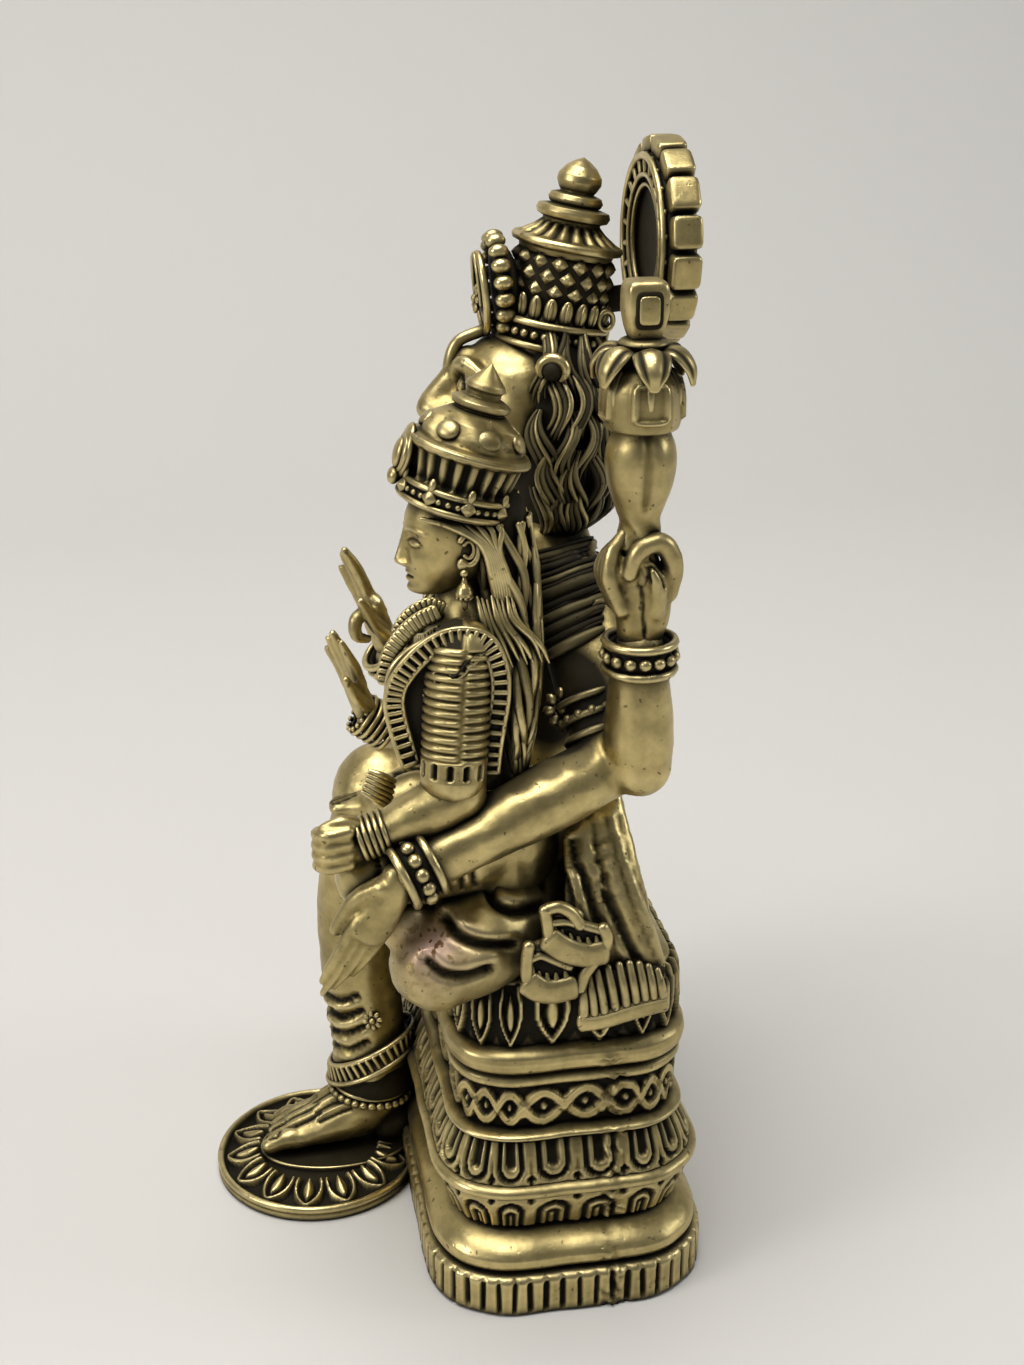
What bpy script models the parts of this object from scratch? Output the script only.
"""A cast brass idol: the lion-headed god Narasimha seated on a lotus plinth, his consort on his left thigh.

The whole idol is one casting, so it is one solid. Its forms are modelled one by one and fused at the end.
The idol faces -Y and its own left side is +X. Z is up and the origin is the middle of the plinth's underside.
The plinth and the footrest are built from named sizes. The two figures are free forms: their places are
hundredths of the figure's height above the seat, which the function "at" turns into metres.
"""

import math

import bmesh
import bpy
from mathutils import Matrix, Vector

MM = 0.001

# Driving sizes of the plinth
PLINTH_WIDTH = 72 * MM
PLINTH_DEPTH = 39 * MM
PLINTH_CORNER = 12 * MM
FLUTE_BAND_HEIGHT = 6.0 * MM
CUSHION_HEIGHT = 5.2 * MM
LOWER_LOTUS_HEIGHT = 6.6 * MM
WAIST_RIM_HEIGHT = 2.0 * MM
UPPER_LOTUS_HEIGHT = 5.6 * MM
SILL_HEIGHT = 1.3 * MM
KNOT_BAND_HEIGHT = 6.9 * MM
CORNICE_FILLET_HEIGHT = 2.0 * MM
CORNICE_HEIGHT = 3.8 * MM
TOP_LOTUS_HEIGHT = 9.0 * MM
SEAT_EDGE_HEIGHT = 1.6 * MM

# How far each course of the plinth stands in from the outline of its foot
CUSHION_INSET = 0.6 * MM
RECESS_INSET = 4.6 * MM
RIM_INSET = 0.9 * MM
UPPER_LOTUS_INSET = 4.0 * MM
SILL_INSET = 3.2 * MM
KNOT_BAND_INSET = 5.0 * MM
CORNICE_FILLET_INSET = 3.8 * MM
CORNICE_INSET = 3.1 * MM
TOP_LOTUS_INSET = 3.8 * MM
SEAT_INSET = 8.0 * MM

# Depths of the carving and the mouldings
CUSHION_BULGE = 0.9 * MM
PETAL_RELIEF = 1.5 * MM
RIBBON_RELIEF = 1.1 * MM
CORNICE_GROOVE = 0.8 * MM

FLUTE_COUNT = 80
FLUTE_DEPTH = 0.8 * MM
PETAL_COUNT = 32
KNOT_COUNT = 37

# Driving sizes of the round lotus footrest
FOOTREST_RADIUS = 15.4 * MM
FOOTREST_RIM_HEIGHT = 2.2 * MM
FOOTREST_CENTRE_X = -4 * MM
FOOTREST_OVERLAP = 2.9 * MM
FOOTREST_MOUND_RADIUS = 8.6 * MM
FOOTREST_MOUND_HEIGHT = 4.4 * MM
FOOTREST_RIM_WIDTH = 1.4 * MM
FOOTREST_GROOVE_HEIGHT = 1.5 * MM
FOOTREST_PETAL_RELIEF = 1.2 * MM
FOOTREST_PETAL_COUNT = 13

# Driving size of the figures, from the seat to the top of the halo
FIGURE_HEIGHT = 100 * MM
SHARE = FIGURE_HEIGHT / 100

MANE_LOCK_COUNT = 11
CROWN_LOBE_COUNT = 7
DISCUS_FLAME_COUNT = 8

COURSE_HEIGHTS = [
    FLUTE_BAND_HEIGHT, CUSHION_HEIGHT, LOWER_LOTUS_HEIGHT, WAIST_RIM_HEIGHT, UPPER_LOTUS_HEIGHT, SILL_HEIGHT,
    KNOT_BAND_HEIGHT, CORNICE_FILLET_HEIGHT, CORNICE_HEIGHT, TOP_LOTUS_HEIGHT, SEAT_EDGE_HEIGHT]
SEAT_HEIGHT = sum(COURSE_HEIGHTS)
FLAT_EDGE_ANGLE = 10
FOOTREST_CENTRE_Y = -PLINTH_DEPTH / 2 - FOOTREST_RADIUS + FOOTREST_OVERLAP


def clear_scene():
    """Removes whatever the scene holds before the model is made."""
    for item in list(bpy.data.objects):
        bpy.data.objects.remove(item, do_unlink=True)


def make_collection(name):
    """Returns a new collection in the scene."""
    collection = bpy.data.collections.new(name)
    bpy.context.scene.collection.children.link(collection)
    return collection


def brass_material():
    """Returns the worn, antiqued brass of the casting."""
    material = bpy.data.materials.new("antique_brass")
    material.use_nodes = True
    shader = material.node_tree.nodes["Principled BSDF"]
    shader.inputs["Base Color"].default_value = (0.52, 0.43, 0.21, 1)
    shader.inputs["Metallic"].default_value = 1
    shader.inputs["Roughness"].default_value = 0.34
    return material


def at(x, y, z):
    """Returns a place on the figures, given in hundredths of the figure's height above the seat."""
    return Vector((x * SHARE, y * SHARE, SEAT_HEIGHT + z * SHARE))


def add_form(name, mesh):
    """Adds one closed form that the casting is fused from."""
    form = bpy.data.objects.new(name, mesh)
    form.hide_render = True
    form.display_type = 'WIRE'
    forms.objects.link(form)
    return form


def mesh_from(name, bm):
    """Writes a bmesh to a new mesh and frees it."""
    bmesh.ops.recalc_face_normals(bm, faces=bm.faces)
    mesh = bpy.data.meshes.new(name)
    bm.to_mesh(mesh)
    bm.free()
    return mesh


def limb(name, points, radii, sides=6):
    """Adds a tapered form along a route, with a radius in shares at each of its points."""
    curve = bpy.data.curves.new(name, 'CURVE')
    curve.dimensions = '3D'
    curve.use_fill_caps = True
    curve.bevel_depth = SHARE
    curve.bevel_resolution = sides // 2 - 2
    spline = curve.splines.new('POLY')
    spline.points.add(len(points) - 1)
    for spot, place, radius in zip(spline.points, points, radii):
        spot.co = (*place, 1)
        spot.radius = radius
    tube = bpy.data.objects.new(name, curve)
    forms.objects.link(tube)
    evaluated = tube.evaluated_get(bpy.context.evaluated_depsgraph_get())
    mesh = bpy.data.meshes.new_from_object(evaluated)
    bpy.data.objects.remove(tube)
    bm = bmesh.new()
    bm.from_mesh(mesh)
    bmesh.ops.remove_doubles(bm, verts=bm.verts, dist=0.001 * MM)
    bpy.data.meshes.remove(mesh)
    return add_form(name, mesh_from(name, bm))


def ball(name, centre, radii, turn=(0, 0, 0), rings=(8, 6)):
    """Adds an ellipsoid, with its three radii in shares and its turn in degrees."""
    bm = bmesh.new()
    bmesh.ops.create_uvsphere(bm, u_segments=rings[0], v_segments=rings[1], radius=1)
    stretch = Matrix.Diagonal((*[radius * SHARE for radius in radii], 1))
    rotation = Matrix.Rotation(math.radians(turn[2]), 4, 'Z') \
        @ Matrix.Rotation(math.radians(turn[1]), 4, 'Y') @ Matrix.Rotation(math.radians(turn[0]), 4, 'X')
    bm.transform(Matrix.Translation(centre) @ rotation @ stretch)
    return add_form(name, mesh_from(name, bm))


def nugget(name, centre, radii, turn=(0, 0, 0)):
    """Adds a small faceted form of eight faces, for petals, toes, flowers and studs."""
    bm = bmesh.new()
    bmesh.ops.create_uvsphere(bm, u_segments=4, v_segments=2, radius=1)
    stretch = Matrix.Diagonal((*[radius * SHARE for radius in radii], 1))
    rotation = Matrix.Rotation(math.radians(turn[2]), 4, 'Z') \
        @ Matrix.Rotation(math.radians(turn[1]), 4, 'Y') @ Matrix.Rotation(math.radians(turn[0]), 4, 'X')
    bm.transform(Matrix.Translation(centre) @ rotation @ stretch)
    return add_form(name, mesh_from(name, bm))


def turned(name, profile, foot, lean=0, steps=16):
    """Adds a turned form. Its profile is radius and height in shares from the top down, its foot a place."""
    bm = bmesh.new()
    corners = [bm.verts.new((radius * SHARE, 0, height * SHARE)) for radius, height in profile]
    for upper, lower in zip(corners, corners[1:]):
        bm.edges.new((upper, lower))
    mesh = bpy.data.meshes.new(name)
    bm.to_mesh(mesh)
    bm.free()
    form = add_form(name, mesh)
    screw = form.modifiers.new("turn", 'SCREW')
    screw.steps = screw.render_steps = steps
    screw.use_merge_vertices = True
    screw.merge_threshold = 0.01 * MM
    form.matrix_world = Matrix.Translation(foot) @ Matrix.Rotation(math.radians(lean), 4, 'X')
    return form


def outline_place(share, inset):
    """Returns the point at a share of the way round the plinth's outline, moved in by an inset.

    The way round starts at the middle of the front and runs towards the left side of the idol. Points of one
    share stand one behind the other at every inset."""
    corner = PLINTH_CORNER - inset
    half_x = PLINTH_WIDTH / 2 - PLINTH_CORNER
    half_y = PLINTH_DEPTH / 2 - PLINTH_CORNER
    arc = math.pi / 2 * PLINTH_CORNER
    distance = (share % 1) * 4 * (half_x + half_y + arc)
    straights = [half_x, 2 * half_y, 2 * half_x, 2 * half_y, half_x]
    pivots = [(half_x, -half_y), (half_x, half_y), (-half_x, half_y), (-half_x, -half_y)]
    starts = [(0, -half_y), (half_x, -half_y), (half_x, half_y), (-half_x, half_y), (-half_x, -half_y)]
    for side in range(5):
        heading = side * math.pi / 2
        along = Vector((math.cos(heading), math.sin(heading)))
        outward = Vector((math.sin(heading), -math.cos(heading)))
        if distance <= straights[side] or side == 4:
            return Vector(starts[side]) + along * distance + outward * corner
        distance -= straights[side]
        if distance <= arc:
            turn = heading + distance / PLINTH_CORNER - math.pi / 2
            return Vector(pivots[side]) + Vector((math.cos(turn), math.sin(turn))) * corner
        distance -= arc


def carved_ring(count, proud, sunk, height):
    """Returns the shares and the places of one ring of the plinth, with two points to each carved motif.

    The middle of each motif stands at the first inset and the line between two motifs at the second."""
    ring = []
    for step in range(2 * count):
        share = 0.5 * step / count
        place = outline_place(share, proud if step % 2 == 0 else sunk)
        ring.append((share, Vector((*place, height))))
    return ring


def plain_ring(inset, height):
    """Returns the shares and the places of one smooth ring of the plinth."""
    return carved_ring(PETAL_COUNT, inset, inset, height)


def stitch(bm, lower, upper):
    """Joins two rings that may have unlike numbers of points with a band of triangles."""
    def share(ring, index):
        return ring[index % len(ring)][0] + index // len(ring)

    def corner(ring, index):
        return ring[index % len(ring)][1]

    i, k = 0, 0
    while i < len(lower) or k < len(upper):
        if k == len(upper) or (i < len(lower) and share(lower, i + 1) <= share(upper, k + 1)):
            bm.faces.new((corner(lower, i), corner(lower, i + 1), corner(upper, k)))
            i += 1
        else:
            bm.faces.new((corner(lower, i), corner(upper, k + 1), corner(upper, k)))
            k += 1


def course_level(course, share=0.0):
    """Returns the height of a place in a course of the plinth, as a share of the course's own height."""
    return sum(COURSE_HEIGHTS[:course]) + share * COURSE_HEIGHTS[course]


def foot_rings():
    """Returns the rings of the fluted foot, the plain cushion over it and the recess."""
    foot, cushion = 0, 1
    return [
        carved_ring(FLUTE_COUNT, 0, FLUTE_DEPTH, course_level(foot)),
        carved_ring(FLUTE_COUNT, 0, FLUTE_DEPTH, course_level(foot, 0.97)),
        plain_ring(CUSHION_INSET, course_level(cushion, 0.2)),
        plain_ring(CUSHION_INSET + CUSHION_BULGE, course_level(cushion, 0.75)),
        plain_ring(RECESS_INSET, course_level(cushion, 0.95))]


def waist_rings():
    """Returns the rings of the two rows of petals that meet at the waist rim, and of the sill over them."""
    lower, rim, upper, sill = 2, 3, 4, 5
    return [
        carved_ring(PETAL_COUNT, RECESS_INSET - 1.3 * PETAL_RELIEF, RECESS_INSET, course_level(lower, 0.2)),
        carved_ring(PETAL_COUNT, RIM_INSET + 0.7 * PETAL_RELIEF, RIM_INSET + 1.9 * PETAL_RELIEF,
                    course_level(lower, 0.8)),
        plain_ring(RIM_INSET, course_level(rim, 0.15)),
        plain_ring(RIM_INSET, course_level(rim, 0.85)),
        carved_ring(PETAL_COUNT, RIM_INSET + 0.8 * PETAL_RELIEF, RIM_INSET + 2.1 * PETAL_RELIEF,
                    course_level(upper, 0.15)),
        carved_ring(PETAL_COUNT, UPPER_LOTUS_INSET - PETAL_RELIEF, UPPER_LOTUS_INSET + 0.2 * PETAL_RELIEF,
                    course_level(upper, 0.75)),
        plain_ring(SILL_INSET, course_level(sill, 0.2)),
        plain_ring(SILL_INSET, course_level(sill, 0.85))]


def knot_rings():
    """Returns the rings of the twisted ribbon, whose strands lean by half a knot from ring to ring."""
    band = 6
    proud, sunk = KNOT_BAND_INSET - RIBBON_RELIEF, KNOT_BAND_INSET
    return [
        carved_ring(KNOT_COUNT, proud, sunk, course_level(band, 0.1)),
        carved_ring(KNOT_COUNT, sunk, proud, course_level(band, 0.5)),
        carved_ring(KNOT_COUNT, proud, sunk, course_level(band, 0.9))]


def crown_rings():
    """Returns the rings of the cornice, the top row of petals and the seat."""
    fillet, cornice, lotus, edge = 7, 8, 9, 10
    return [
        plain_ring(CORNICE_FILLET_INSET, course_level(fillet, 0.1)),
        plain_ring(CORNICE_FILLET_INSET, course_level(fillet, 0.7)),
        plain_ring(CORNICE_FILLET_INSET + CORNICE_GROOVE, course_level(cornice, 0.02)),
        plain_ring(CORNICE_INSET, course_level(cornice, 0.35)),
        plain_ring(TOP_LOTUS_INSET + 0.4 * PETAL_RELIEF, course_level(cornice, 0.98)),
        carved_ring(PETAL_COUNT, TOP_LOTUS_INSET - 0.8 * PETAL_RELIEF, TOP_LOTUS_INSET + 0.5 * PETAL_RELIEF,
                    course_level(lotus, 0.12)),
        carved_ring(PETAL_COUNT, TOP_LOTUS_INSET - 0.4 * PETAL_RELIEF, TOP_LOTUS_INSET + PETAL_RELIEF,
                    course_level(lotus, 0.6)),
        plain_ring(SEAT_INSET - 0.6 * SEAT_EDGE_HEIGHT, course_level(edge)),
        plain_ring(SEAT_INSET, course_level(edge, 1))]


def build_plinth():
    """Returns the mesh of the plinth, lofted through the rings of all its courses."""
    bm = bmesh.new()
    rings = foot_rings() + waist_rings() + knot_rings() + crown_rings()
    rows = [[(share, bm.verts.new(place)) for share, place in ring] for ring in rings]
    for lower, upper in zip(rows, rows[1:]):
        stitch(bm, lower, upper)
    bm.faces.new([corner for _, corner in reversed(rows[0])])
    bm.faces.new([corner for _, corner in rows[-1]])
    return mesh_from("plinth", bm)


def loft(name, rings):
    """Adds a closed form through rings of equally many points."""
    bm = bmesh.new()
    rows = [[bm.verts.new(place) for place in ring] for ring in rings]
    count = len(rings[0])
    for lower, upper in zip(rows, rows[1:]):
        for i in range(count):
            k = (i + 1) % count
            bm.faces.new((lower[i], lower[k], upper[k], upper[i]))
    bm.faces.new(list(reversed(rows[0])))
    bm.faces.new(rows[-1])
    return add_form(name, mesh_from(name, bm))


def trunk(name, sections, sides):
    """Adds an upright free form through level ellipses, each with its middle and two radii in shares."""
    rings = []
    for x, y, z, radius_x, radius_y in sections:
        turns = [2 * math.pi * step / sides for step in range(sides)]
        rings.append([at(x + radius_x * math.cos(turn), y + radius_y * math.sin(turn), z) for turn in turns])
    loft(name, rings)


def lobed_ring(frame, lobes, proud, sunk, height, swap=False):
    """Returns one ring round an axis, with alternate points proud and sunk, or sunk and proud if swapped."""
    ring = []
    for step in range(2 * lobes):
        angle = math.pi * (step + 0.5) / lobes
        radius = proud if (step % 2 == 0) != swap else sunk
        ring.append(frame @ Vector((radius * math.cos(angle), radius * math.sin(angle), height)))
    return ring


def round_ring(centre, radius, height, lift=0.0):
    """Returns one ring of the footrest, with alternate points lifted to shape its petals."""
    count = 2 * FOOTREST_PETAL_COUNT
    ring = []
    for step in range(count):
        angle = 2 * math.pi * step / count
        rise = lift if step % 2 == 0 else 0
        ring.append(centre + Vector((radius * math.cos(angle), radius * math.sin(angle), height + rise)))
    return ring


def build_footrest():
    """Adds the round lotus footrest with its ring of petals and the mound under the foot."""
    centre = Vector((FOOTREST_CENTRE_X, FOOTREST_CENTRE_Y, 0))
    rim_edge = FOOTREST_RADIUS - FOOTREST_RIM_WIDTH
    petal_reach = FOOTREST_MOUND_RADIUS + 0.4 * (rim_edge - FOOTREST_MOUND_RADIUS)
    loft("footrest", [
        round_ring(centre, FOOTREST_RADIUS, 0),
        round_ring(centre, FOOTREST_RADIUS, 0.7 * FOOTREST_RIM_HEIGHT),
        round_ring(centre, rim_edge, FOOTREST_RIM_HEIGHT),
        round_ring(centre, rim_edge - 0.4 * FOOTREST_RIM_WIDTH, FOOTREST_GROOVE_HEIGHT),
        round_ring(centre, petal_reach, FOOTREST_RIM_HEIGHT, FOOTREST_PETAL_RELIEF),
        round_ring(centre, FOOTREST_MOUND_RADIUS, FOOTREST_MOUND_HEIGHT - FOOTREST_PETAL_RELIEF),
        round_ring(centre, 0.8 * FOOTREST_MOUND_RADIUS, FOOTREST_MOUND_HEIGHT)])


def build_god_body():
    """Adds the trunk and the head of the lion-headed god."""
    trunk("god_trunk", [
        (0, 0.5, -2, 18.5, 9.4), (0, 0.5, 6, 19, 10.4), (0, 0.3, 13, 14.5, 9.6), (0, 0.2, 20, 10.6, 8.4),
        (0, 0.4, 28, 11, 8), (0, 1, 37, 14, 8.2), (0, 2, 43, 16.8, 7.4), (0, 2.4, 47.4, 16.4, 5.8),
        (0, 2.4, 51, 9, 5)], sides=8)
    ball("lion_skull", at(0, -2.4, 67), (8.6, 8.2, 9), rings=(8, 6))
    ball("muzzle", at(0, -10, 65), (5.6, 5.6, 4.2), (-18, 0, 0), rings=(6, 4))
    ball("lower_jaw", at(0, -8.6, 58.8), (4.2, 4.8, 2.6), (12, 0, 0), rings=(6, 4))
    nugget("nose", at(0, -13.8, 66.4), (2.6, 2.2, 1.8))
    for side in (-1, 1):
        ball("cheek", at(5 * side, -6, 62.5), (4.2, 4.8, 4.8), rings=(6, 4))
        nugget("brow", at(4 * side, -8.4, 71), (4.6, 3.2, 3.0), (0, -18 * side, 0))
        nugget("lion_ear", at(11 * side, -1.5, 72.8), (2.6, 2, 3.4), (0, 24 * side, 0))


def build_mane():
    """Adds the mane, which falls in locks from the crown to the shoulders all round the head."""
    sections = [(50, 5.5, 0.7), (53, 10.6, 2.6), (59, 13.4, 1.8), (65, 13.6, 2.4), (71, 12.2, 1.6),
                (76, 8.4, 0.8), (79, 5, 0.4)]
    rings = []
    for number, (height, reach, relief) in enumerate(sections):
        squeeze = Matrix.Translation(at(0, 2.6, height)) @ Matrix.Diagonal((SHARE, 0.66 * SHARE, SHARE, 1))
        rings.append(lobed_ring(squeeze, MANE_LOCK_COUNT, reach, reach - relief, 0, number % 2 == 1))
    loft("mane", rings)


def build_god_crown():
    """Adds the tall crown, with its petal ring, lattice, lid and finial, and the crest plate before it."""
    frame = Matrix.Translation(at(0, 1.0, 74.6)) @ Matrix.Rotation(math.radians(-12), 4, 'X') \
        @ Matrix.Diagonal((SHARE, SHARE, SHARE, 1))
    band = [(7.0, 7.0, 0), (7.2, 7.2, 2.8)]
    petals_and_lattice = [(6.4, 6.4, 3), (7.0, 6.2, 4.6), (6.2, 5.6, 6.4), (5.9, 6.4, 8), (6.3, 5.5, 9.8),
                          (5.7, 5.7, 11.8)]
    lid = [(6.6, 6.6, 12.7), (2.9, 2.9, 15.8)]
    finial = [(3.7, 3.7, 17), (1.9, 1.9, 18.6), (2.6, 2.6, 19.4), (0.7, 0.7, 23.2)]
    loft("god_crown", [lobed_ring(frame, CROWN_LOBE_COUNT, proud, sunk, height)
                       for proud, sunk, height in band + petals_and_lattice + lid + finial])
    ball("crest_plate", at(0, -5.2, 82.4), (5, 1.6, 6.6), (8, 0, 0), rings=(6, 4))


def build_halo():
    """Adds the toothed disc behind the crown, hollowed a little in front, and its stem to the crown."""
    centre_height, front, back = 87.1, 13.9, 18.7
    tooth_count, reach, gap_reach = 16, 12.9, 11.4

    def halo_ring(outer, inner, depth):
        """Returns one ring of the disc, with four points to a tooth."""
        ring = []
        for step in range(4 * tooth_count):
            angle = math.pi / 2 + 2 * math.pi * (step + 0.5) / (4 * tooth_count)
            radius = outer if step % 4 in (0, 3) else inner
            ring.append(at(radius * math.cos(angle), depth, centre_height + radius * math.sin(angle)))
        return ring

    loft("halo_teeth", [halo_ring(reach, gap_reach, back), halo_ring(reach, gap_reach, front + 1)])
    turned("halo_face", [(0, front + 3), (11, front + 3), (11.6, front + 0.4), (10.6, front), (8.4, front),
                         (7.4, front + 1), (0, front + 1)], at(0, 0, centre_height), -90, steps=16)
    limb("halo_stem", [at(0, 5, 81.4), at(0, 15.4, 82.6)], [2.0, 2.2])


def build_arm(name, shoulder, elbow, wrist, radii):
    """Adds an arm as an upper arm, an elbow and a forearm."""
    limb(name + "_upper_arm", [shoulder, elbow], [radii[0], radii[1]])
    ball(name + "_elbow", elbow, (radii[1], radii[1], radii[1]), rings=(6, 3))
    limb(name + "_forearm", [elbow, elbow.lerp(wrist, 0.4), wrist], [radii[1], 1.04 * radii[1], radii[2]])


def band(name, middle, direction, radius, width):
    """Adds a bracelet or an armlet round a limb that runs in the given direction."""
    half = direction.normalized() * width / 2 * SHARE
    limb(name, [middle - half, middle + half], [radius, radius])


def hand(name, heel, tips, spread, palm, thickness):
    """Adds an open hand from the heel of the palm to the fingertips, with four fingers and a thumb."""
    reach = tips - heel
    knuckles = heel + 0.48 * reach
    normal = reach.cross(spread).normalized()
    limb(name + "_palm", [heel, heel.lerp(knuckles, 0.6), knuckles + 0.02 * reach],
         [0.8 * palm, palm, 0.86 * palm])
    for finger in range(4):
        offset = spread * (finger - 1.5) * 0.52 * palm * SHARE
        length = (0.9, 1.0, 0.96, 0.8)[finger]
        start = knuckles - 0.12 * reach + offset
        limb(name + "_finger", [start, start + reach * 0.62 * length + normal * 0.3 * SHARE],
             [1.15 * thickness, 0.8 * thickness], sides=4)
    thumb_start = heel + 0.2 * reach - spread * 0.7 * palm * SHARE
    limb(name + "_thumb", [thumb_start, thumb_start + 0.45 * reach - spread * 0.75 * palm * SHARE],
         [1.2 * thickness, 0.85 * thickness], sides=4)


def build_god_arms():
    """Adds the four arms of the god, with their bracelets and hands."""
    for side in (-1, 1):
        name = "raised_left" if side > 0 else "raised_right"
        build_arm(name, at(15 * side, 4.5, 45), at(31 * side, 7.4, 28.6), at(31 * side, 7.1, 43),
                  (4.4, 4.3, 3.3))
        band(name + "_bracelet", at(31 * side, 7.1, 42.8), Vector((0, 0, 1)), 4.5, 4.2)
        limb(name + "_palm", [at(31 * side, 7, 44), at(31 * side, 6.6, 49), at(31 * side, 6.4, 53.5)],
             [3.0, 3.6, 3.2])
        for finger in range(4):
            level = 47.6 + 2.0 * finger
            limb(name + "_finger", [at(31 * side + 2.8, 3.8, level), at(31 * side - 2.8, 3.8, level)],
                 [1.4, 1.2], sides=4)
        limb(name + "_thumb", [at(31 * side + 1, 9.4, 50), at(31 * side, 9.6, 57)], [1.6, 1.1], sides=4)
    build_arm("front_left", at(15, 1, 45), at(28.5, 4.6, 27.5), at(33, -19, 18), (4.6, 4.2, 3.1))
    band("front_left_armlet", at(24.6, 3.6, 32.5), at(28.5, 4.6, 27.5) - at(15, 1, 45), 4.9, 3)
    band("front_left_bracelet", at(33, -21, 17), at(33, -21, 17) - at(28.5, 4.6, 27.5), 4.5, 4)
    hand("front_left", at(33, -22.5, 16), at(33, -32.3, 2), Vector((0.55, -0.55, -0.4)).normalized(),
         3.6, 1.25)
    build_arm("front_right", at(-15, 1, 45), at(-23, 0, 26.5), at(-16.6, -17, 26), (4.6, 4.2, 3.1))
    band("front_right_bracelet", at(-16.6, -17.4, 26.8), Vector((0.1, -0.6, 0.8)), 4.3, 3.6)
    hand("front_right", at(-16.4, -18.2, 28), at(-16, -23.8, 44.2), Vector((-1, 0, 0)), 3.5, 1.25)


def build_attributes():
    """Adds the conch in the raised left hand and the discus in the raised right hand."""
    conch_profile = [(0, 34), (2.6, 34), (1.7, 27.4), (4.6, 22.6), (4.3, 18.4), (2.3, 13), (1.5, 0.6), (0, 0)]
    turned("conch", conch_profile, at(31, 6.6, 52.6), steps=8)
    for side in (-1, 1):
        nugget("conch_scroll", at(31, 6.2 + 4.4 * side, 77), (2.2, 2.0, 1.6), (24 * side, 0, 0))
        nugget("conch_wing", at(31 + 4.0 * side, 6.4, 76), (2.2, 1.8, 1.8), (0, -20 * side, 0))
    facing = Matrix.Translation(at(-31, 6.8, 70.5)) @ Matrix.Rotation(math.pi / 2, 4, 'X') \
        @ Matrix.Diagonal((SHARE, SHARE, SHARE, 1))
    loft("discus", [lobed_ring(facing, DISCUS_FLAME_COUNT, proud, sunk, depth) for proud, sunk, depth in [
        (2, 2, -1.6), (6.6, 6.6, -1.6), (9.4, 7.2, -0.7), (9.4, 7.2, 0.7), (6.6, 6.6, 1.6), (2, 2, 1.6)]])
    limb("discus_stem", [at(-31, 6.8, 52), at(-31, 6.8, 64)], [1.5, 1.9])


def build_god_legs():
    """Adds the folded left leg, the hanging right leg with its folds and hem, and the right foot."""
    limb("left_thigh", [at(8, 2, 8), at(20, -5, 6.6), at(27.5, -14, 3.4), at(28.4, -18.4, 1.0)],
         [8.6, 7.6, 7.0, 5.6])
    limb("left_shin", [at(27.5, -17, 1.4), at(15, -14.6, 3.4), at(3, -12, 4)], [5.6, 5.0, 4.0])
    limb("left_foot", [at(4, -12.4, 3.8), at(-3, -15.5, 3.4)], [3.2, 2.2])
    limb("right_thigh", [at(-8, 2, 8), at(-8, -10, 9.4), at(-7, -19.6, 9.8)], [8.8, 7.8, 7.0])
    ball("right_knee", at(-6.8, -20.8, 9.4), (6.8, 7.2, 7.4), rings=(8, 6))
    ankle = Vector((-6 * SHARE, -23.4 * SHARE, FOOTREST_MOUND_HEIGHT + 6 * SHARE))
    knee = at(-6.6, -22.2, 7)
    hem = ankle + Vector((0, 0, 6.4 * SHARE))
    calf = knee.lerp(hem, 0.5) + Vector((0, -2.4 * SHARE, 0))
    limb("right_calf", [knee, calf], [6.6, 5.6])
    shin_shares = [0, 0.14, 0.32, 0.5, 0.66, 0.84, 1]
    shin_radii = [5.5, 6.3, 5.2, 6.2, 5.1, 6.1, 5.2]
    limb("right_shin_folds", [calf.lerp(hem, share) for share in shin_shares], shin_radii)
    limb("right_hem", [hem, ankle], [5.4, 6.8])
    sole = FOOTREST_MOUND_HEIGHT
    heel = Vector((-6 * SHARE, -20.4 * SHARE, sole + 2.4 * SHARE))
    toes = Vector((-6 * SHARE, -36 * SHARE, sole + 0.6 * SHARE))
    limb("right_foot", [heel, heel.lerp(toes, 0.45), toes], [4.4, 4.2, 2.0])
    for toe in range(5):
        place = toes + Vector(((toe - 2) * 1.5 * SHARE, (-1.6 + 0.3 * abs(toe - 1)) * SHARE, 0.1 * SHARE))
        nugget("toe", place, (1.0, 2.6, 1.2))


def build_garments():
    """Adds the cloth behind the hips, the sash over the edge of the seat, and the folds and ribs of cloth."""
    ball("skirt_behind", at(4, 1.2, 2.6), (24, 10.4, 8.4), rings=(10, 6))
    fall = [at(20, 4, 20), at(26, 4.2, 12), at(30.5, 5.2, 6), at(32.4, 6, 0)]
    limb("sash_fall", fall, [1.8, 2.4, 3.0, 3.8])
    for pleat in range(3):
        start = at(29.5, -1.6 + 4.8 * pleat, 4.2 - 1.8 * (pleat % 2))
        end = at(33.0, -0.2 + 4.8 * pleat, -3.4 - 1.4 * (pleat % 2))
        limb("sash_pleat", [start, end], [2.2, 3.0], sides=4)
    for fold in range(3):
        y = -13 + 5.2 * fold
        over_thigh = [at(26.6 - fold, y - 3, 12.4 - fold), at(30.4 - fold, y - 1, 7), at(29.6, y + 2.4, 2)]
        limb("thigh_fold", over_thigh, [0.9, 1.7, 0.9], sides=4)
    for rib in range(3):
        limb("shawl_rib", [at(8 + 2.4 * rib, -4.4, 47.4 - 4 * rib), at(17.4 + 2 * rib, 0, 46 - 4.4 * rib),
                           at(18.6 + 2 * rib, 6.4, 44.6 - 4.4 * rib)], [1.1, 2.0, 1.1], sides=4)


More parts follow.
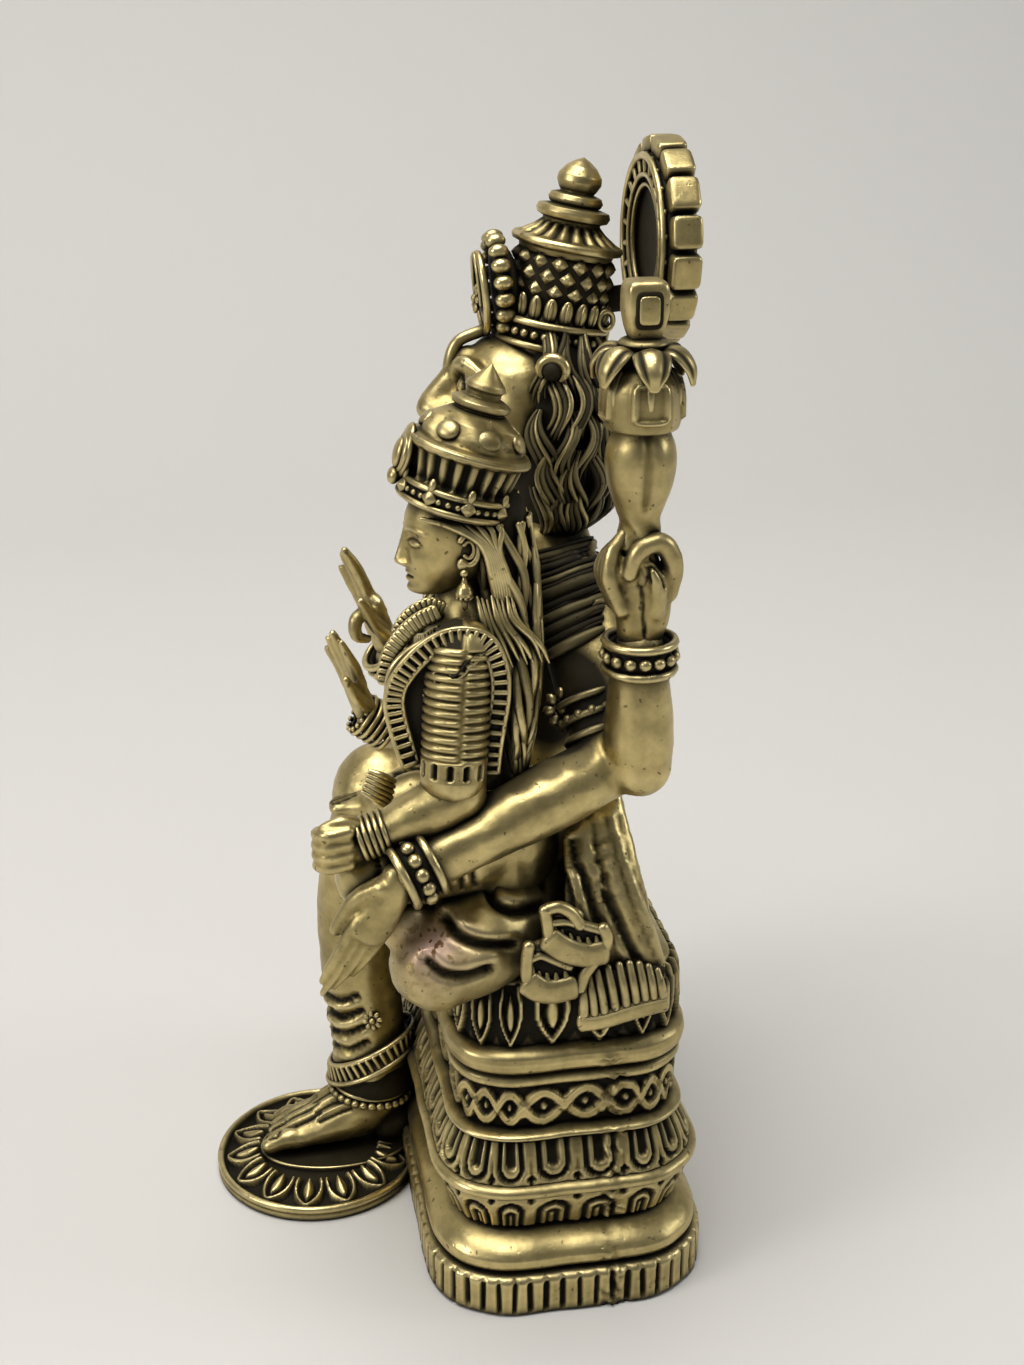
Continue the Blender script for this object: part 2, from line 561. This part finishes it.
def build_consort():
    """Adds the consort on the god's left thigh, with her crown, hair, arms and folded legs."""
    trunk("consort_trunk", [
        (20, -8.4, 10, 8.4, 7.6), (20, -8.6, 16, 9.4, 8.2), (20.5, -10, 22, 7.4, 6.8),
        (21, -11.6, 27, 5.8, 5.4), (21, -13.4, 33, 7, 6.6), (21, -14.8, 38, 8.6, 7.6),
        (21, -13.4, 42.4, 10, 5.4), (20.9, -12.8, 45.4, 8, 4), (20.7, -12.8, 47, 3.4, 3.2),
        (20.4, -13.4, 52, 2.9, 2.9)], sides=8)
    for side in (-1, 1):
        ball("consort_breast", at(21 + 3.8 * side, -18, 38.4), (3.8, 4.4, 4), rings=(6, 4))
    ball("consort_head", at(20.3, -13.6, 55.6), (5.8, 6.6, 7.6), rings=(8, 6))
    nugget("consort_nose", at(20.3, -20.2, 55.2), (0.9, 1.3, 1.6))
    limb("consort_hair", [at(20.6, -9.4, 60), at(21.5, -6.6, 50), at(24.6, -6.6, 40), at(26, -6.8, 29)],
         [5.6, 4.6, 3.4, 1.6])
    turned("consort_crown", [(0, 17.4), (1.8, 15.2), (1.2, 14.3), (3.3, 12.8), (2.7, 11.9), (6.1, 9.4),
                             (7.5, 7.3), (6.8, 6.3), (6.5, 2.5), (7.1, 2.1), (7.0, 0), (0, 0)],
           at(20.4, -13.8, 58.6), -12, steps=10)
    nugget("consort_crest", at(20.4, -19.9, 65.2), (2.4, 1.6, 3))
    for side in (-1, 1):
        limb("consort_earring", [at(20.3 + 5.6 * side, -13.8, 55), at(20.3 + 6.0 * side, -13.8, 48.6)],
             [1.6, 1.2], sides=4)
    build_arm("consort_left", at(28.6, -13, 43), at(31, -12.8, 25.6), at(31, -25, 21.6), (4.1, 3.6, 2.5))
    band("consort_left_bangles", at(31, -24.8, 21.7), at(31, -25, 21.6) - at(31, -12.8, 25.6), 3.2, 2.6)
    limb("consort_left_hand", [at(31, -25.6, 21.4), at(31, -29, 20.8), at(31, -31.6, 19.6)], [2.4, 3.1, 2.3])
    build_arm("consort_right", at(12.8, -13, 43), at(9.4, -13.5, 27), at(10, -23, 27.6), (3.9, 3.4, 2.5))
    band("consort_right_bangles", at(10, -23, 27.6), Vector((0, -0.8, 0.5)), 3.1, 3.4)
    hand("consort_right", at(10, -24.4, 28.6), at(10.4, -28.6, 41.7), Vector((-0.5, -0.8, 0)).normalized(),
         2.8, 1.0)
    limb("consort_left_thigh", [at(23, -10, 16), at(26, -20, 16.6), at(27, -26.4, 14.6)], [6.2, 5.6, 4.6])
    limb("consort_left_shin", [at(27, -25, 14.4), at(18, -24, 11)], [4.4, 3.4])
    limb("consort_right_leg", [at(16, -10, 16), at(9.4, -15, 17.4), at(7, -22, 15.6)], [5.8, 4.6, 3.0])
    limb("consort_right_foot", [at(7, -21.6, 15.2), at(5.4, -28.4, 13.6)], [2.3, 1.7])


def fuse(plinth, name, collection):
    """Makes the casting by fusing every other form to the plinth."""
    casting = bpy.data.objects.new(name, plinth)
    collection.objects.link(casting)
    casting.data.materials.append(brass_material())
    union = casting.modifiers.new("fuse_the_forms", 'BOOLEAN')
    union.operation = 'UNION'
    union.operand_type = 'COLLECTION'
    union.collection = forms
    union.solver = 'EXACT'
    flatten = casting.modifiers.new("dissolve_flat_edges", 'DECIMATE')
    flatten.decimate_type = 'DISSOLVE'
    flatten.angle_limit = math.radians(FLAT_EDGE_ANGLE)
    return casting


clear_scene()
forms = make_collection("forms_to_fuse")
statue = make_collection("narasimha_statue")
build_footrest()
build_god_body()
build_mane()
build_god_crown()
build_halo()
build_god_arms()
build_attributes()
build_god_legs()
build_garments()
build_consort()
fuse(build_plinth(), "narasimha_statue", statue)
